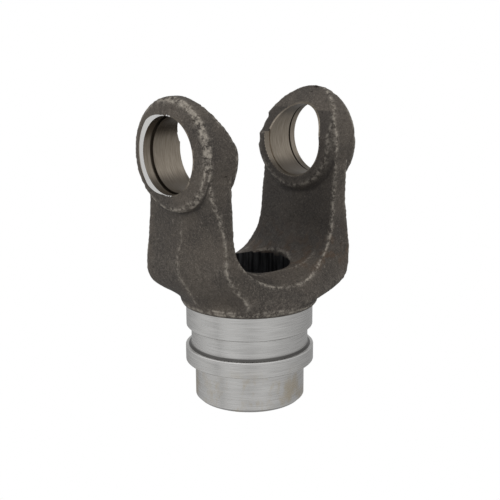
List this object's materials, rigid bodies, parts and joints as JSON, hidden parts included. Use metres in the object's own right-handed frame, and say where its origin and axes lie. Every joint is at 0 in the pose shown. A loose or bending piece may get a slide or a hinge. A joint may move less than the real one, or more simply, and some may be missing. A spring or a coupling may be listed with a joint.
{
  "type": "forged yoke",
  "caption": "Forged steel universal-joint yoke: two bored ears on a saddle over a hollow turned shank with collar, neck and spigot.",
  "frame": {"origin": "centre of the spigot's free end, on the shank axis", "axes": "+Z along the shank towards the ears, +X along the bores of the two ears, +Y across the jaw"},
  "size_m": [0.1014, 0.071, 0.1576],
  "materials": {
    "forged_steel": "as forged and shot-blasted, with the shank, bores and facings machined bright"
  },
  "bodies": {
    "root": {"forged_yoke": "forged_steel"}
  },
  "joints": []
}
